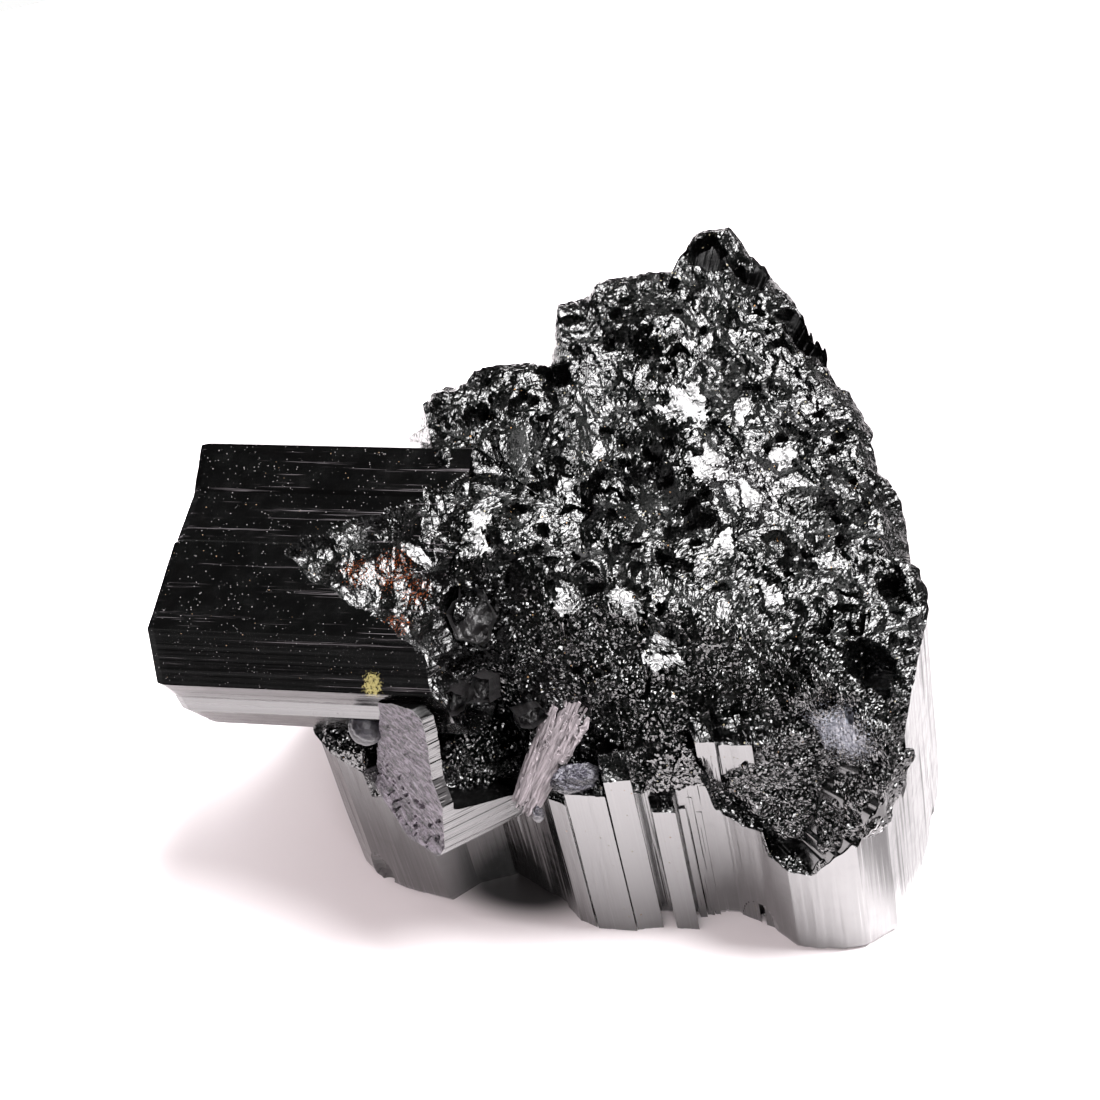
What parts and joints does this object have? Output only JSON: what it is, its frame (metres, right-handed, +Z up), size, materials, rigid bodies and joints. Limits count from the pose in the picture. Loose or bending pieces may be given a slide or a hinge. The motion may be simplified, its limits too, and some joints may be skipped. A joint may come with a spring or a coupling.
{
  "type": "black tourmaline crystal cluster",
  "caption": "Cluster of upright black tourmaline columns under a rough glittering crown, with a thick crystal leaning out to the left; stands on its flat foot.",
  "frame": {"origin": "middle of the plan, on the flat foot that the cluster stands on", "axes": "+Z up along the columns, +X towards the side away from the leaning crystal, -Y to the front with the cavity"},
  "size_m": [0.0582, 0.0466, 0.0428],
  "materials": {
    "schorl": "glossy natural crystal faces, hackly broken crown"
  },
  "bodies": {
    "root": {"tourmaline": "schorl"}
  },
  "joints": []
}
